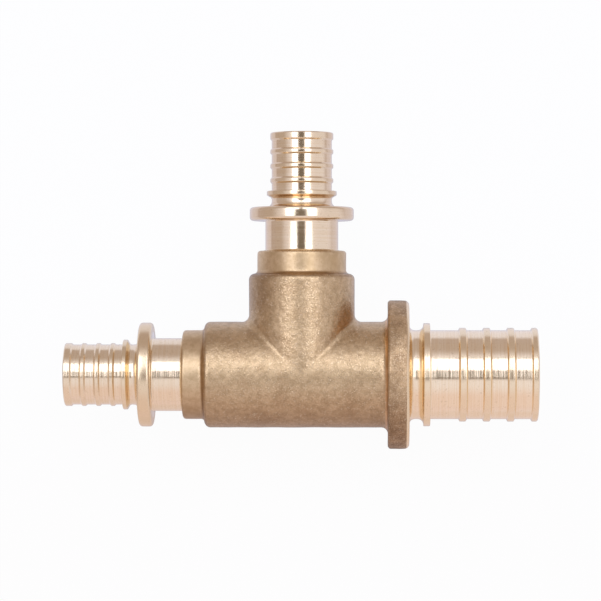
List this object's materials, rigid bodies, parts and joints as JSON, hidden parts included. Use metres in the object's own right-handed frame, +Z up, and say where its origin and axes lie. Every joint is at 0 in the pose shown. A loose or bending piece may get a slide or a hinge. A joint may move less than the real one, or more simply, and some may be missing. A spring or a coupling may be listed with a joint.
{
  "type": "sleeve-pressed pipe reducing tee",
  "caption": "Brass reducing tee for sleeve-pressed plastic pipe: forged body with a broad flange and large ribbed spigot, and small turned spigots on the other run end and the branch.",
  "frame": {"origin": "where the centre lines of the run and the branch cross", "axes": "+X along the run towards the large end, +Y outwards along the branch, +Z up, with the tee lying on its side"},
  "size_m": [0.1452, 0.0972, 0.0456],
  "materials": {
    "forged_brass": "blasted forging",
    "turned_brass": "turned, bright",
    "braze_filler": "flowed filler"
  },
  "bodies": {
    "root": {"tee_body": "forged_brass", "run_spigot": "turned_brass", "branch_spigot": "turned_brass", "run_braze_ring": "braze_filler", "branch_braze_ring": "braze_filler"}
  },
  "joints": []
}
